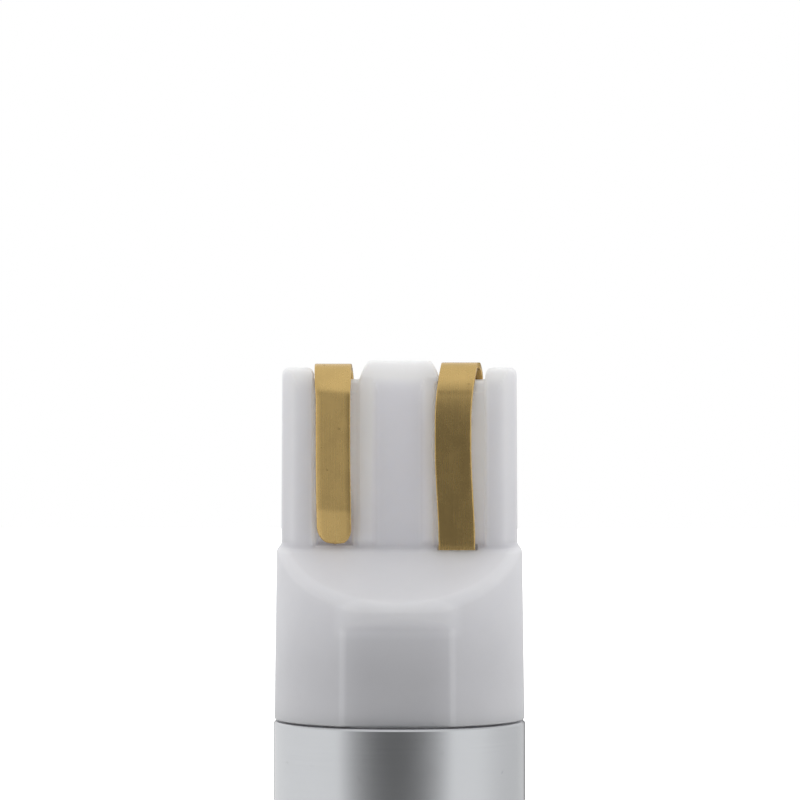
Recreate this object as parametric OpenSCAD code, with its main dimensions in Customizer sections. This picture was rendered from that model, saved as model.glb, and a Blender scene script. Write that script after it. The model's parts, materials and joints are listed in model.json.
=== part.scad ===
// Wedge base LED bulb for a W2.1x9.5d holder.
// It stands on its light end, with the wedge cap upwards. All sizes are in millimetres.

/* [Body] */
// Outer diameter of the aluminium heat sink
sink_d = 10.1; // [9.9:0.1:11]
// Length of the heat sink that shows
sink_h = 8.2; // [8:0.1:12]
// Diameter of the upper bore, which takes the cap's spigot
sink_bore_d = 8.3; // [8.2:0.05:8.6]
// Thickness of the web between the driver and the emitter board
web_t = 1.0; // [0.8:0.1:1.5]
// Depth of the turned cooling grooves
groove_depth = 0.35; // [0.2:0.05:0.4]
// Width of each cooling groove
groove_w = 0.6; // [0.4:0.05:0.7]
// Distance from one cooling groove to the next
groove_pitch = 1.25; // [1.2:0.05:1.5]
// Number of cooling grooves
groove_count = 3; // [1:1:3]
// Plain band between the joint and the first groove
band_h = 3.2; // [2:0.1:3.4]
// Chamfer on the rims of the heat sink
rim_chamfer = 0.08; // [0.05:0.01:0.2]

/* [Light end] */
// Length of the diffuser that shows
lens_h = 5.4; // [4.8:0.1:8]
// Outer diameter of the diffuser
lens_d = 9.4; // [9.1:0.1:9.8]
// Wall of the diffuser
lens_wall = 0.8; // [0.6:0.05:0.9]
// Radius of the diffuser's lower edge
lens_edge_r = 1.2; // [0.8:0.1:1.5]
// Depth of the diffuser's spigot in the heat sink
lens_spigot_h = 1.0; // [0.9:0.05:1.5]
// Thickness of the emitter board
led_board_t = 0.8; // [0.6:0.1:1]
// Thickness of the thermal pad behind the emitter board
pad_t = 0.2; // [0.1:0.05:0.3]

/* [Collar] */
// Height of the collar, from the joint to the foot of the blade
collar_h = 7.05; // [6.6:0.05:8]
// Diameter of the collar at the joint
collar_d = 10.02; // [9.9:0.02:10.1]
// Taper of the collar's diameter up to the shoulder
collar_taper = 0.2; // [0.1:0.02:0.3]
// Slope of the two shoulder faces below the horizontal
scoop_angle = 30; // [20:1:34]
// Height of the two flats
flat_h = 4.05; // [3:0.05:4.3]
// Distance from the bulb's axis to each flat, at the joint
flat_y = 4.5; // [4.45:0.05:4.7]
// Dark gap that shows between collar and heat sink
joint_gap = 0.08; // [0.05:0.01:0.15]
// Depth of the cap's spigot in the heat sink
spigot_h = 2.8; // [2:0.1:3]
// Wall of the cap round the driver board
cap_wall = 0.68; // [0.6:0.02:0.7]

/* [Blade] */
// Width of the blade
blade_w = 9.5; // [9.3:0.05:9.6]
// Thickness of the blade
blade_t = 2.2; // [2.1:0.05:2.5]
// Height of the blade above the shoulder
blade_h = 7.35; // [7:0.05:8]
// Radius of the blade's upright edges
blade_edge_r = 0.85; // [0.4:0.05:1]
// How far the two ears stop below the middle tongue
ear_drop = 0.28; // [0.1:0.02:0.4]
// Depth of the notch that each contact folds over
notch_depth = 0.75; // [0.6:0.05:0.8]
// Width of the two contact channels
channel_w = 1.8; // [1.7:0.05:1.9]
// Distance between the centre lines of the channels
channel_pitch = 5.08; // [5:0.02:5.2]
// Height of the raised rib on the tongue
rib_h = 0.08; // [0.04:0.02:0.12]

/* [Contacts] */
// Width of the contact strip
contact_w = 1.46; // [1.3:0.02:1.5]
// Thickness of the contact strip
contact_t = 0.25; // [0.2:0.01:0.3]
// How far a strip's ends stand out of the blade's face
contact_proud = 0.1; // [0.05:0.01:0.2]
// Outward spring of the leg with the free end
free_bow = 0.2; // [0.1:0.01:0.3]
// Outward spring of the leg that enters the collar
root_bow = 0.14; // [0.13:0.01:0.2]

/* [Driver] */
// Thickness of the driver board
board_t = 0.8; // [0.6:0.1:1]
// Height of the driver board
board_h = 8.7; // [8.2:0.1:9]
// Diameter of the two leads' bare cores
core_d = 0.4; // [0.3:0.05:0.5]
// Outer diameter of the leads' insulation
jacket_d = 0.7; // [0.6:0.05:0.8]

/* [Hidden] */
$fn = 96;

// Heights of the main faces above the diffuser's tip
z_sink = lens_h;
z_joint = z_sink + sink_h;
z_shoulder = z_joint + collar_h;
z_top = z_shoulder + blade_h;

// Clearances
slip = 0.03;         // a part that slides into another
glue_gap = 0.02;     // the spigot glued into the bore
lead_gap = 0.05;     // a lead through a hole

// Light end, from the spigot's top upwards
z_led_face = z_sink + lens_spigot_h;
z_led_back = z_led_face + led_board_t;
z_web = z_led_back + pad_t;
z_web_top = z_web + web_t;
seat_wall = 0.6;     // wall of the heat sink round the emitter board
seat_r = sink_d / 2 - seat_wall;
lens_spigot_r = seat_r - slip;
lens_inner_r = lens_spigot_r - lens_wall;
seal_t = 0.2;
seal_h = 0.4;

// Cap: collar, spigot and the round pocket for the driver board
collar_r = collar_d / 2;
shoulder_r = collar_r - collar_taper / 2;
shoulder_round_h = 0.45;
flat_draft = 0.05;
brow_out = 0.42;     // how far the brow above each flat stands out
brow_r = 0.35;       // radius between the brow and the shoulder face
spigot_r = sink_bore_d / 2 - glue_gap;
pocket_r = spigot_r - cap_wall;
pocket_roof = 2.25;  // plastic between the pocket and the foot of the blade
z_spigot = z_joint - spigot_h;
z_pocket = z_shoulder - pocket_roof;
joint_seat_w = 0.5;
joint_relief = 0.12;  // how far the seat stops short of a flat

// Blade
half_t = blade_t / 2;
channel_x = channel_pitch / 2;
channel_in = channel_x - channel_w / 2;
root_relief = 0.22;  // extra width of the channel beside the leg that enters the collar
relief_top = 0.1;    // how far the relief stops below the notch
rib_half_w = 0.8;
lead_in_r = 3;
lead_in_h = 1.3;
ear_r = 0.3;
tongue_chamfer_w = 0.4;
tongue_chamfer_h = 0.62;
blade_draft = 0.04;

// Contacts: the arch over the blade, and where the strips run
arch_r = half_t + contact_proud;
channel_y = arch_r - contact_t;
z_arch = z_top - arch_r;
z_leg_mid = (z_arch + z_shoulder) / 2;
leg_half_h = z_arch - z_leg_mid;
tip_gap = 0.12;
lean_low = 0.45;     // a leg starts to lean towards its crown this far below the arch
lean_h = 1.0;
crown_lean_h = 0.75; // the right strip leans within its arch, so its back leg shows beside the crown
slot_x = 2.36;       // where a strip enters the collar
// Distance from the axis of each strip's centre line, at its crown, its free leg and its root leg
left_crown = 2.6;
left_foot = 2.53;
left_middle = 2.57;
left_root = 2.4;
right_crown = 2.42;
right_foot = 2.56;
right_middle = 2.6;
right_root = 2.19;
slot_clear = 0.03;
joggle_h = 0.7;
joggle_drop = 0.2;
tail_h = 1.3;
tail_w = 1.0;
z_joggle = z_pocket - joggle_drop;
z_tail = z_joggle - joggle_h;

// Driver board and its leads
board_half_w = sqrt(pow(pocket_r, 2) - pow(board_t / 2, 2)) - slip;
z_board_top = z_pocket - 0.5;
z_board = z_board_top - board_h;
lead_edge = 0.7;     // from a lead's centre to the board's edge
lead_x = board_half_w - lead_edge;
solder_film = 0.05;  // solder between a core and the board's face
lead_y = board_t / 2 + solder_film + core_d / 2;
core_top = 1.4;      // how far a core reaches up the board
core_stub = 0.25;    // how far a core stands out of the emitter board

// Driver parts stand in four rows up the board
row_edge = 1.15;     // from the board's ends to the first and the last row
row_pitch = (board_h - 2 * row_edge) / 3;
diode_l = 1.7;
diode_w = 1.25;
diode_h = 0.95;
diode_x = 1.4;
surge_l = 1.9;
surge_w = 1.4;
surge_h = 1.0;
surge_x = 0.9;
chip_end = 0.4;
small_chip_l = 2.0;
small_chip_w = 1.25;
small_chip_h = 0.5;
sense_x = 0.9;
ballast_x = 1.7;
big_chip_l = 3.2;
big_chip_w = 1.6;
big_chip_h = 0.55;
big_chip_x = 0.6;
capacitor_h = 1.2;
capacitor_x = 0.3;

// Emitters, which share the round opening of the diffuser
emitter_t = 0.7;
emitter_clear = 0.22;
emitter_gap_x = 0.6;
emitter_gap_y = 1.8;
emitter_corner = 47; // direction from the axis to the outer corner of an emitter
emitter_w = (lens_inner_r - emitter_clear) * cos(emitter_corner) - emitter_gap_x / 2;
emitter_l = (lens_inner_r - emitter_clear) * sin(emitter_corner) - emitter_gap_y / 2;
emitter_x = (emitter_w + emitter_gap_x) / 2;
emitter_y = (emitter_l + emitter_gap_y) / 2;

function smooth(t) = let (s = max(0, min(1, t))) s * s * (3 - 2 * s);

// Centre line of a strip's leg seen from the front: foot, middle and crown give its lean, and the
// lean towards the crown starts at the height z_lean
function leg_x(z, foot, middle, crown, z_lean) =
    foot + (middle - foot) * smooth((z - z_shoulder) / (0.65 * (z_arch - z_shoulder)))
         + (crown - middle) * smooth((z - z_lean) / min(lean_h, z_top - z_lean));

// Radius of the arc that leaves the arch at a tangent and stands out by bow at mid height
function bow_r(bow) =
    (pow(leg_half_h, 2) + pow(arch_r + bow, 2) - pow(arch_r, 2)) / (2 * bow);

// A solid drawn in the side view, y across and z up, and carried along x
module along_x(length) {
    rotate([90, 0, 90]) linear_extrude(length, center = true) children();
}

// A solid drawn in the front view, x across and z up, and carried along y
module along_y(length) {
    rotate([90, 0, 0]) linear_extrude(length, center = true) children();
}

module half_turn() {
    children();
    rotate(180) children();
}

// Everything on the side with negative x, or with positive x
module one_side(side) {
    rotate(side < 0 ? 180 : 0) children();
}

module diffuser_lens() {
    r = lens_d / 2;
    inner_r = lens_inner_r;
    floor_t = 1.0;
    inner_edge_r = 0.6;
    color("whitesmoke") rotate_extrude() difference() {
        union() {
            translate([0, lens_edge_r]) square([r, lens_h - lens_edge_r]);
            square([r - lens_edge_r, lens_edge_r + 0.1]);
            translate([r - lens_edge_r, lens_edge_r]) intersection() {
                circle(lens_edge_r);
                translate([0, -lens_edge_r]) square(lens_edge_r);
            }
            translate([0, lens_h - 0.1]) square([lens_spigot_r, lens_spigot_h + 0.1]);
        }
        translate([0, floor_t + inner_edge_r])
            square([inner_r, lens_h + lens_spigot_h - floor_t]);
        translate([0, floor_t]) square([inner_r - inner_edge_r, inner_edge_r + 0.1]);
        translate([inner_r - inner_edge_r, floor_t + inner_edge_r]) circle(inner_edge_r);
        translate([lens_spigot_r - seal_t, seal_z() - z_sink + lens_h])
            square([1, seal_h]);
    }
}

function seal_z() = z_sink + (lens_spigot_h - seal_h) / 2;

module lens_seal() {
    color("gainsboro") translate([0, 0, seal_z()]) rotate_extrude()
        translate([lens_spigot_r - seal_t, 0]) square([seal_t + slip, seal_h]);
}

// One package: a pale frame round a slightly raised phosphor window
module led_emitter(x, y) {
    window_w = emitter_w - 0.4;
    window_l = emitter_l - 0.4;
    frame_t = emitter_t - 0.1;
    color("khaki") translate([x, y, z_led_face - frame_t]) {
        translate([-emitter_w / 2, -emitter_l / 2, 0]) cube([emitter_w, emitter_l, frame_t]);
        translate([-window_w / 2, -window_l / 2, frame_t - emitter_t])
            cube([window_w, window_l, emitter_t]);
    }
}

module led_board() {
    color("white") difference() {
        translate([0, 0, z_led_face]) cylinder(h = led_board_t, r = seat_r - slip);
        half_turn() translate([lead_x, -lead_y, z_led_face - 1])
            cylinder(h = led_board_t + 2, d = core_d + 2 * slip, $fn = 48);
    }
}

module thermal_pad() {
    color("lightsteelblue") difference() {
        translate([0, 0, z_led_back]) cylinder(h = pad_t, r = seat_r - 0.15);
        half_turn() translate([lead_x, -lead_y, z_led_back - 1])
            cylinder(h = pad_t + 2, d = jacket_d + 2 * lead_gap, $fn = 48);
    }
}

// The turned outline of the heat sink, without its lead holes
module sink_outline() {
    r = sink_d / 2;
    bore_r = sink_bore_d / 2;
    difference() {
        polygon([
            [0, z_sink], [r - rim_chamfer, z_sink], [r, z_sink + rim_chamfer],
            [r, z_joint - rim_chamfer], [r - rim_chamfer, z_joint], [0, z_joint]
        ]);
        translate([0, z_sink - 1]) square([seat_r, z_web - z_sink + 1]);
        translate([0, z_web_top]) square([bore_r, z_joint - z_web_top + 1]);
        for (i = [0 : groove_count - 1])
            translate([r - groove_depth, z_joint - band_h - groove_w - i * groove_pitch])
                square([1, groove_w]);
    }
}

module heat_sink() {
    color("silver") difference() {
        rotate_extrude() sink_outline();
        half_turn() translate([lead_x, -lead_y, z_web - 1])
            cylinder(h = web_t + 2, d = jacket_d + 2 * lead_gap, $fn = 48);
    }
}

// The lead at negative y belongs to the right side, and the other is half a turn round
module lead_core(side) {
    z_low = z_led_face - core_stub;
    color("peru") one_side(side) translate([lead_x, -lead_y, z_low])
        cylinder(h = z_board + core_top - z_low, d = core_d, $fn = 48);
}

module lead_jacket(side) {
    z_low = z_led_back;
    color("firebrick") one_side(side) translate([lead_x, -lead_y, z_low]) difference() {
        cylinder(h = z_board - 0.1 - z_low, d = jacket_d, $fn = 48);
        translate([0, 0, -1]) cylinder(h = sink_h, d = core_d, $fn = 48);
    }
}

module driver_board() {
    color("seagreen") translate([-board_half_w, -board_t / 2, z_board])
        cube([2 * board_half_w, board_t, board_h]);
}

// A low round cap of solder on a face that looks along negative z
module solder_cap(r, height) {
    ball_r = (r * r + height * height) / (2 * height);
    intersection() {
        translate([0, 0, ball_r - height]) sphere(ball_r, $fn = 64);
        translate([-r, -r, -height]) cube([2 * r, 2 * r, height]);
    }
}

module led_solder(side) {
    color("lightgray") one_side(side) difference() {
        translate([lead_x, -lead_y, z_led_face]) solder_cap(0.38, 0.3);
        translate([lead_x, -lead_y, z_led_face - 1]) cylinder(h = 2, d = core_d, $fn = 48);
    }
}

module driver_solder(side) {
    color("lightgray") one_side(side) difference() {
        translate([lead_x, -board_t / 2, z_board + core_top - 0.5])
            rotate([-90, 0, 0]) solder_cap(0.6, 0.55);
        translate([lead_x, -lead_y, z_board]) cylinder(h = core_top, d = core_d, $fn = 48);
    }
}

// A two-ended chip lying on the front of the board, its metal ends a little proud
module chip(x, z, length, width, height) {
    proud = 0.03;
    translate([x, -board_t / 2, z]) {
        translate([-length / 2, -height, -width / 2 + proud])
            cube([length, height, width - 2 * proud]);
        for (s = [-1, 1])
            translate([s * (length - chip_end) / 2 - chip_end / 2, -height - proud, -width / 2])
                cube([chip_end, height + proud, width]);
    }
}

// A moulded diode with a flat lead out of each end
module diode(x, z, length, width, height) {
    lead_l = 0.4;
    lead_t = 0.15;
    translate([x, -board_t / 2, z]) {
        translate([-length / 2, -height, -width / 2]) cube([length, height - 0.05, width]);
        translate([-length / 2 - lead_l, -lead_t, -width / 5])
            cube([length + 2 * lead_l, lead_t, 0.4 * width]);
    }
}

// Height of a row, counted from 0 at the bottom
function row_z(i) = z_board + row_edge + i * row_pitch;

module rectifier_diode(x, row) {
    color("dimgray") diode(x, row_z(row), diode_l, diode_w, diode_h);
}

module surge_diode() {
    color("dimgray") diode(-surge_x, row_z(3), surge_l, surge_w, surge_h);
}

module sense_resistor() {
    color("darkslategray") chip(sense_x, row_z(0), small_chip_l, small_chip_w, small_chip_h);
}

module ballast_resistor_1() {
    color("darkslategray") chip(-ballast_x, row_z(0), small_chip_l, small_chip_w, small_chip_h);
}

module ballast_resistor_2() {
    color("darkslategray") rotate(180)
        chip(-big_chip_x, row_z(3), big_chip_l, big_chip_w, big_chip_h);
}

module smoothing_capacitor() {
    color("tan") rotate(180)
        chip(-capacitor_x, row_z(0), big_chip_l, big_chip_w, capacitor_h);
}

// A three-lead package with its cooling tab on the far side
module current_regulator() {
    body_w = 4.5;
    body_l = 2.45;
    body_t = 1.5;
    lead_t = 0.4;
    z = z_board + board_h / 2;
    color("dimgray") rotate(180) translate([0, -board_t / 2, z]) {
        translate([-body_w / 2, -body_t, -body_l / 2]) cube([body_w, body_t, body_l]);
        translate([-0.85, -lead_t, body_l / 2 - 0.1]) cube([1.7, lead_t, 0.7]);
        for (x = [-1.5, 0, 1.5])
            translate([x - 0.22, -lead_t, -body_l / 2 - 0.8]) cube([0.44, lead_t, 0.9]);
    }
}

// Side view of one leg: an arc that springs outwards, from the arch down to z_low
module leg_side(bow, z_low) {
    r = bow_r(bow);
    intersection() {
        translate([r - arch_r - bow, z_leg_mid]) difference() {
            circle(r, $fn = 360);
            circle(r - contact_t, $fn = 360);
        }
        translate([-2 * arch_r, z_low]) square([2 * arch_r, z_arch - z_low]);
    }
}

// Side view of the arch's half over negative y
module arch_side() {
    translate([0, z_arch]) intersection() {
        difference() {
            circle(arch_r);
            circle(arch_r - contact_t);
        }
        translate([-arch_r, 0]) square(arch_r);
    }
}

// Side view of the root below the shoulder: slot, joggle to the board, and tail
module root_side() {
    pad_y = -board_t / 2;
    translate([-arch_r, z_joggle]) square([contact_t, z_shoulder - z_joggle + 0.02]);
    polygon([
        [-arch_r, z_joggle], [-channel_y, z_joggle],
        [pad_y, z_tail], [pad_y - contact_t, z_tail]
    ]);
    translate([pad_y - contact_t, z_tail - tail_h]) square([contact_t, tail_h]);
}

// Front view of a leg: constant width about its own centre line
module leg_front(z_low, foot, middle, crown, z_lean) {
    steps = 36;
    levels = [for (i = [0 : steps]) z_low + (z_top + 0.01 - z_low) * i / steps];
    polygon([
        for (z = levels) [leg_x(z, foot, middle, crown, z_lean) - contact_w / 2, z],
        for (i = [steps : -1 : 0])
            [leg_x(levels[i], foot, middle, crown, z_lean) + contact_w / 2, levels[i]]
    ]);
}

// Leg on negative y with the rounded free end
module free_leg(foot, middle, crown, z_lean) {
    z_tip = z_shoulder + tip_gap;
    intersection() {
        along_x(3 * channel_pitch) {
            leg_side(free_bow, z_tip);
            arch_side();
        }
        along_y(3 * arch_r) {
            leg_front(z_tip + contact_w / 2, foot, middle, crown, z_lean);
            translate([foot, z_tip + contact_w / 2]) circle(contact_w / 2);
        }
    }
}

// Leg on negative y that enters the collar and ends on the driver board
module root_leg(foot, middle, crown) {
    intersection() {
        along_x(3 * channel_pitch) {
            leg_side(root_bow, z_shoulder);
            arch_side();
            root_side();
        }
        along_y(3 * arch_r) {
            leg_front(z_joggle, foot, middle, crown, z_arch - lean_low);
            translate([foot - tail_w / 2, z_tail - tail_h])
                square([tail_w, z_joggle - z_tail + tail_h]);
        }
    }
}

// The strip on the right: its root is in front, and its free end behind
module contact_right() {
    color("goldenrod") {
        root_leg(slot_x, right_root, right_crown);
        rotate(180) free_leg(-right_foot, -right_middle, -right_crown, z_top - crown_lean_h);
    }
}

// The strip on the left: its free end is in front, and its root behind
module contact_left() {
    color("goldenrod") {
        free_leg(-left_foot, -left_middle, -left_crown, z_arch - lean_low);
        rotate(180) root_leg(slot_x, left_root, left_crown);
    }
}

module contact_solder(side) {
    z_foot = z_tail - tail_h;
    color("lightgray") one_side(side) difference() {
        translate([slot_x, -board_t / 2, z_foot + 0.25]) rotate([-90, 0, 0]) solder_cap(0.8, 0.5);
        translate([slot_x - tail_w / 2, -board_t / 2 - contact_t, z_foot])
            cube([tail_w, contact_t + 1, tail_h]);
    }
}

// Plan of the blade: rounded edges, and the recessed strips beside the tongue's rib
module blade_plan() {
    r = min(blade_edge_r, half_t - 0.05);
    x = blade_w / 2 - r;
    difference() {
        union() {
            square([2 * x, blade_t], center = true);
            square([blade_w, blade_t - 2 * r], center = true);
            for (sx = [-1, 1], sy = [-1, 1])
                translate([sx * x, sy * (half_t - r)]) circle(r);
        }
        for (sx = [-1, 1], sy = [-1, 1])
            translate([sx * (rib_half_w + channel_in) / 2, sy * (half_t - rib_h + 0.5)])
                square([channel_in - rib_half_w + 0.1, 1], center = true);
    }
}

// Front view of the blade: two ears with round corners, and the chamfered tongue
module blade_front() {
    z_low = z_shoulder - 1;
    z_ear = z_top - ear_drop;
    x_out = blade_w / 2 - blade_draft;
    x_ear = channel_x + channel_w / 2;
    polygon([
        [-blade_w / 2, z_low], [blade_w / 2, z_low], [x_out, z_top - notch_depth],
        [-x_out, z_top - notch_depth]
    ]);
    polygon([
        [-channel_in, z_low], [channel_in, z_low], [channel_in, z_top - tongue_chamfer_h],
        [channel_in - tongue_chamfer_w, z_top], [tongue_chamfer_w - channel_in, z_top],
        [-channel_in, z_top - tongue_chamfer_h]
    ]);
    for (s = [-1, 1]) {
        for (x = [x_ear + ear_r, x_out - ear_r])
            translate([s * x, z_ear - ear_r]) circle(ear_r, $fn = 48);
        translate([s * (x_ear + x_out) / 2, z_ear - notch_depth / 2])
            square([x_out - x_ear - 2 * ear_r, notch_depth], center = true);
        translate([s * (x_ear + x_out) / 2, z_ear - ear_r - notch_depth / 2])
            square([x_out - x_ear, notch_depth], center = true);
    }
}

// Side view of the blade: straight faces that draw in along an arc towards the top
module blade_side() {
    z_bend = z_top - lead_in_h;
    translate([-half_t, z_shoulder - 1]) square([blade_t, z_bend - z_shoulder + 1]);
    intersection() {
        translate([half_t - lead_in_r, z_bend]) circle(lead_in_r);
        translate([lead_in_r - half_t, z_bend]) circle(lead_in_r);
        translate([-half_t, z_bend - 0.1]) square([blade_t, lead_in_h + 0.1]);
    }
}

module blade() {
    intersection() {
        translate([0, 0, z_shoulder - 1]) linear_extrude(blade_h + 1) blade_plan();
        along_y(2 * blade_t) blade_front();
        along_x(2 * blade_w) blade_side();
    }
}

// What each channel takes away: all but the core that the strips fold round
module channel_side() {
    core_r = channel_y - slip;
    difference() {
        translate([-blade_t, z_shoulder]) square([2 * blade_t, blade_h + 1]);
        translate([-channel_y, z_shoulder - 1]) square([2 * channel_y, z_arch - z_shoulder + 1]);
        translate([0, z_arch]) circle(core_r);
    }
    translate([-blade_t, z_top - notch_depth]) square([2 * blade_t, notch_depth + 1]);
}

// The pair of channels, wider in front on the right and behind on the left
module channels() {
    half_turn() translate([channel_x, 0, 0]) along_x(channel_w) channel_side();
    half_turn() intersection() {
        translate([channel_in - root_relief / 2, 0, 0]) along_x(root_relief + 0.02) channel_side();
        translate([0, -blade_t, z_shoulder])
            cube([blade_w, blade_t, blade_h - notch_depth - relief_top]);
    }
}

// Turned outline of the collar, with the small round at its shoulder and the seat on the heat sink
module collar_outline() {
    joint_seat_r = sink_bore_d / 2 + joint_seat_w;
    crown_r = blade_w / 2;
    steps = 8;
    polygon([
        [0, z_joint], [joint_seat_r, z_joint], [joint_seat_r, z_joint + joint_gap],
        [collar_r, z_joint + joint_gap],
        for (i = [0 : steps]) [
            crown_r + (shoulder_r - crown_r) * cos(90 * i / steps),
            z_shoulder - shoulder_round_h * (1 - sin(90 * i / steps))
        ],
        [0, z_shoulder]
    ]);
}

// Side view of half the collar: the drafted flat, the soft step out to the brow, and the sloping face
module collar_half_side() {
    y_flat = flat_y - flat_draft;
    y_brow = y_flat + brow_out;
    z_flat = z_joint + flat_h;
    z_brow = z_shoulder - tan(scoop_angle) * (y_brow - brow_r - half_t) - brow_r / cos(scoop_angle);
    steps = 8;
    polygon([
        [0, z_joint - 1], [flat_y - joint_relief, z_joint - 1],
        [flat_y - joint_relief, z_joint + joint_gap], [flat_y, z_joint + joint_gap],
        for (i = [0 : steps])
            [y_flat + brow_out * smooth(i / steps), z_flat + (z_brow - z_flat) * i / steps],
        for (i = [1 : steps]) let (a = (90 - scoop_angle) * i / steps)
            [y_brow - brow_r + brow_r * cos(a), z_brow + brow_r * sin(a)],
        [half_t, z_shoulder], [0, z_shoulder]
    ]);
}

module collar_side() {
    collar_half_side();
    mirror([1, 0]) collar_half_side();
}

module wedge_base() {
    slot_w = contact_w + 2 * slot_clear;
    slot_t = contact_t + 2 * slot_clear;
    color("white") difference() {
        union() {
            intersection() {
                rotate_extrude() collar_outline();
                along_x(2 * sink_d) collar_side();
            }
            translate([0, 0, z_spigot]) cylinder(h = spigot_h + 0.5, r = spigot_r);
            blade();
        }
        translate([0, 0, z_spigot - 1]) cylinder(h = z_pocket - z_spigot + 1, r = pocket_r);
        channels();
        half_turn() translate([slot_x, -(arch_r + channel_y) / 2, (z_pocket + z_shoulder) / 2])
            cube([slot_w, slot_t, pocket_roof + 1], center = true);
    }
}

diffuser_lens();
lens_seal();
led_emitter(emitter_x, emitter_y);  // led_emitter_1
led_emitter(-emitter_x, emitter_y);  // led_emitter_2
led_emitter(-emitter_x, -emitter_y);  // led_emitter_3
led_emitter(emitter_x, -emitter_y);  // led_emitter_4
led_board();
led_solder(-1);  // led_solder_left
led_solder(1);  // led_solder_right
thermal_pad();
heat_sink();
lead_core(-1);  // lead_core_left
lead_core(1);  // lead_core_right
lead_jacket(-1);  // lead_jacket_left
lead_jacket(1);  // lead_jacket_right
driver_board();
driver_solder(-1);  // driver_solder_left
driver_solder(1);  // driver_solder_right
rectifier_diode(-diode_x, 1);  // rectifier_diode_1
rectifier_diode(diode_x, 1);  // rectifier_diode_2
rectifier_diode(-diode_x, 2);  // rectifier_diode_3
rectifier_diode(diode_x, 2);  // rectifier_diode_4
surge_diode();
sense_resistor();
ballast_resistor_1();
ballast_resistor_2();
current_regulator();
smoothing_capacitor();
contact_solder(-1);  // contact_solder_left
contact_solder(1);  // contact_solder_right
contact_left();
contact_right();
wedge_base();
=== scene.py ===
"""Wedge base LED bulb: its finished surfaces, materials and studio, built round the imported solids.

The bulb stands on its light end, with the wedge cap upwards. Blender's unit is the metre, and the
shape functions below work in millimetres, because the bulb is only 28 mm high.
"""

import json
import math

import bpy
import numpy as np
from bpy.props import FloatProperty, FloatVectorProperty, IntProperty, PointerProperty
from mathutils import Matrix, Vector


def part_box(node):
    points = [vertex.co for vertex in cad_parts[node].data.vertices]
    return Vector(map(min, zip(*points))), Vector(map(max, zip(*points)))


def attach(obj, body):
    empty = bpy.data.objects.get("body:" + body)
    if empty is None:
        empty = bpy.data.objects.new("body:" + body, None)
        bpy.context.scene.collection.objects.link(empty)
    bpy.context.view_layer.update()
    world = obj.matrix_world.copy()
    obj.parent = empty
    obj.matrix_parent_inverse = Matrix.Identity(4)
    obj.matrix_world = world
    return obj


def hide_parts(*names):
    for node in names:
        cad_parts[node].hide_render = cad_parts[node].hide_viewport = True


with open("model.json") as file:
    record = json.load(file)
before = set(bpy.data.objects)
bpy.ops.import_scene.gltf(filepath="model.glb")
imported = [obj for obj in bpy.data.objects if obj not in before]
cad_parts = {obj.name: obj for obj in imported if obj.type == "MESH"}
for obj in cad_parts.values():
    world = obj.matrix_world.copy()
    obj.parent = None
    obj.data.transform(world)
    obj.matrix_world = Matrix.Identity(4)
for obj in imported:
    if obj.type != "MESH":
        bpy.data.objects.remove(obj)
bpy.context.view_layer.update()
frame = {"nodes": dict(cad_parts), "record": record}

bl_info = {
    "name": "Wedge Base LED Bulb",
    "version": (1, 0, 0),
    "blender": (4, 5, 0),
    "location": "View3D > Sidebar > Bulb",
    "description": "Builds a small wedge base LED bulb with its cap, contacts, heat sink and diffuser",
    "category": "Object",
}

MM = 0.001


def box_mm(node):
    """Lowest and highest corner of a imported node, in millimetres."""
    low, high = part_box(node)
    return np.array(low) / MM, np.array(high) / MM


def linear(red, green, blue):
    """A colour given as 0 to 255 values of a display, turned into linear light."""
    return tuple((value / 255) ** 2.2 for value in (red, green, blue))


CAP_LOW, CAP_HIGH = box_mm("wedge_base")
SINK_LOW, SINK_HIGH = box_mm("heat_sink")
LENS_LOW, LENS_HIGH = box_mm("diffuser_lens")
BOARD_LOW, BOARD_HIGH = box_mm("driver_board")


# Properties


def length(name, description, millimetres, low=0.0, high=50.0):
    return FloatProperty(
        name=name,
        description=description,
        default=millimetres * MM,
        min=low * MM,
        max=high * MM,
        unit="LENGTH",
        precision=6,
    )


def colour(name, description, value):
    return FloatVectorProperty(
        name=name, description=description, default=value, size=3, min=0.0, max=1.0, subtype="COLOR"
    )


class BulbCapSizes(bpy.types.PropertyGroup):
    """Sizes of the moulded wedge cap."""

    collar_height: length("Collar height", "From the joint to the foot of the blade", 7.05)
    collar_diameter: length("Collar diameter", "Diameter of the collar at the joint", 10.02)
    collar_taper: length("Collar taper", "How much the diameter narrows up to the shoulder", 0.2)
    flat_height: length("Flat height", "Height of the two flats on the collar", 4.05)
    flat_distance: length("Flat distance", "From the axis to each flat, at the joint", 4.5)
    flat_draft: length("Flat draft", "How much a flat leans in over its height", 0.05)
    brow_out: length("Brow", "How far the brow above each flat stands out", 0.38)
    joint_gap: length("Joint gap", "Dark gap between collar and heat sink", 0.08)
    blade_width: length("Blade width", "Width of the blade", 9.5)
    blade_thickness: length("Blade thickness", "Thickness of the blade", 2.2)
    blade_edge: length("Blade edge radius", "Radius of the blade's upright edges", 0.85)
    ear_drop: length("Ear drop", "How far the ears stop below the tongue", 0.28)
    notch_depth: length("Notch depth", "Depth of the notch that a contact folds over", 0.75)
    channel_width: length("Channel width", "Width of the two contact channels", 1.8)
    channel_pitch: length("Channel pitch", "Distance between the channels' centre lines", 5.08)
    rib_height: length("Rib height", "Height of the raised rib on the tongue", 0.08)
    shoulder_round: length("Shoulder radius", "Soft edge where the collar meets the shoulder", 0.35)
    flat_round: length("Flat edge radius", "Soft edge of the flats", 0.05)
    crease_fillet: length("Crease fillet", "Fillet where the blade stands on the shoulder", 0.14)
    mesh_step: length("Mesh step", "Spacing of the surface grid at curved places", 0.078)
    mesh_step_tall: length("Tall mesh step", "Vertical spacing at straight places", 0.17)


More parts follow.
